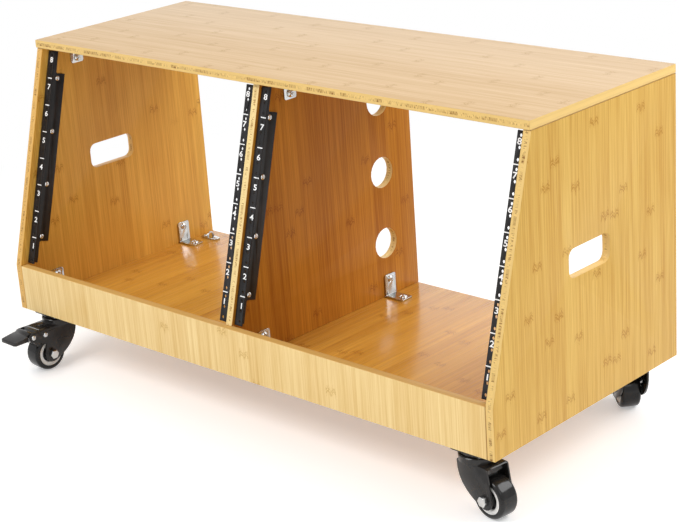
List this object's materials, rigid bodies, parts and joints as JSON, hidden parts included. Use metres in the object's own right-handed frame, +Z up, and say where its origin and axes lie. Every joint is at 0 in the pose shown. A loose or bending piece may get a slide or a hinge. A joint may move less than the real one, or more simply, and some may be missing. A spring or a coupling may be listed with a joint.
{
  "type": "slanted studio rack",
  "caption": "Low wooden equipment rack with side-by-side slanted bays, punched steel rack rails, handle cut-outs and swivel casters, some with a pedal brake.",
  "frame": {"origin": "centre of the footprint on the floor", "axes": "+X to the right seen from the front, -Y out of the slanted front, +Z up"},
  "size_m": [1.0232, 0.5522, 0.5368],
  "materials": {
    "bamboo_top": "semi-gloss lacquer",
    "bamboo_side": "satin lacquer",
    "bamboo_inner": "satin lacquer",
    "bamboo_kick": "satin lacquer",
    "black_steel": "satin powder coat",
    "zinc": "bright zinc",
    "caster_black": "gloss black",
    "rubber": "moulded tread",
    "rim_grey": "moulded"
  },
  "bodies": {
    "cabinet": {"side_board_left": "bamboo_side", "side_board_right": "bamboo_side", "divider_board": "bamboo_inner", "bottom_board": "bamboo_inner", "kick_board": "bamboo_kick", "top_board": "bamboo_top", "rail_left_bay_left": "black_steel", "rail_left_bay_right": "black_steel", "rail_right_bay_left": "black_steel", "rail_right_bay_right": "black_steel", "bracket_left_low_front": "zinc", "bracket_left_low_rear": "zinc", "bracket_left_high_front": "zinc", "bracket_left_high_rear": "zinc", "bracket_divider_low_front": "zinc", "bracket_divider_low_rear": "zinc", "bracket_divider_high_front": "zinc", "bracket_divider_high_rear": "zinc", "bracket_right_low_front": "zinc", "bracket_right_low_rear": "zinc", "bracket_right_high_front": "zinc", "bracket_right_high_rear": "zinc", "lashing_eye": "zinc", "caster_mount_front_left": "caster_black", "kingpin_front_left": "zinc", "caster_mount_front_right": "caster_black", "kingpin_front_right": "zinc", "caster_mount_rear_left": "caster_black", "kingpin_rear_left": "zinc", "caster_mount_rear_right": "caster_black", "kingpin_rear_right": "zinc"},
    "swivel_front_left": {"fork_front_left": "caster_black", "axle_front_left": "zinc", "brake_pin_front_left": "zinc", "fork_rivet_front_left": "zinc"},
    "wheel_front_left": {"wheel_core_front_left": "rim_grey", "tyre_front_left": "rubber"},
    "pedal_front_left": {"brake_pedal_front_left": "caster_black"},
    "swivel_front_right": {"fork_front_right": "caster_black", "axle_front_right": "zinc"},
    "wheel_front_right": {"wheel_core_front_right": "rim_grey", "tyre_front_right": "rubber"},
    "swivel_rear_left": {"fork_rear_left": "caster_black", "axle_rear_left": "zinc"},
    "wheel_rear_left": {"wheel_core_rear_left": "rim_grey", "tyre_rear_left": "rubber"},
    "swivel_rear_right": {"fork_rear_right": "caster_black", "axle_rear_right": "zinc", "brake_pin_rear_right": "zinc", "fork_rivet_rear_right": "zinc"},
    "wheel_rear_right": {"wheel_core_rear_right": "rim_grey", "tyre_rear_right": "rubber"},
    "pedal_rear_right": {"brake_pedal_rear_right": "caster_black"}
  },
  "joints": [
    {"name": "swivel_front_left", "type": "hinge", "parent": "cabinet", "child": "swivel_front_left", "pos_m": [-0.457, -0.1712, 0.09593], "axis": [0, 0, 1], "continuous": true},
    {"name": "spin_front_left", "type": "hinge", "parent": "swivel_front_left", "child": "wheel_front_left", "pos_m": [-0.45813, -0.20358, 0.02963], "axis": [0.9994, -0.0349, 0], "continuous": true},
    {"name": "brake_front_left", "type": "hinge", "parent": "swivel_front_left", "child": "pedal_front_left", "pos_m": [-0.4593, -0.23706, 0.06883], "axis": [-0.9994, 0.0349, 0], "range_deg": [0, 15]},
    {"name": "swivel_front_right", "type": "hinge", "parent": "cabinet", "child": "swivel_front_right", "pos_m": [0.448, -0.1712, 0.09593], "axis": [0, 0, 1], "continuous": true},
    {"name": "spin_front_right", "type": "hinge", "parent": "swivel_front_right", "child": "wheel_front_right", "pos_m": [0.48004, -0.17599, 0.02963], "axis": [0.1478, 0.989, 0], "continuous": true},
    {"name": "swivel_rear_left", "type": "hinge", "parent": "cabinet", "child": "swivel_rear_left", "pos_m": [-0.457, 0.195, 0.09593], "axis": [0, 0, 1], "continuous": true},
    {"name": "spin_rear_left", "type": "hinge", "parent": "swivel_rear_left", "child": "wheel_rear_left", "pos_m": [-0.45026, 0.22669, 0.02963], "axis": [-0.9781, 0.2079, 0], "continuous": true},
    {"name": "swivel_rear_right", "type": "hinge", "parent": "cabinet", "child": "swivel_rear_right", "pos_m": [0.448, 0.195, 0.09593], "axis": [0, 0, 1], "continuous": true},
    {"name": "spin_rear_right", "type": "hinge", "parent": "swivel_rear_right", "child": "wheel_rear_right", "pos_m": [0.42355, 0.21626, 0.02963], "axis": [-0.6561, -0.7547, 0], "continuous": true},
    {"name": "brake_rear_right", "type": "hinge", "parent": "swivel_rear_right", "child": "pedal_rear_right", "pos_m": [0.39826, 0.23823, 0.06883], "axis": [0.6561, 0.7547, 0], "range_deg": [0, 15]}
  ]
}
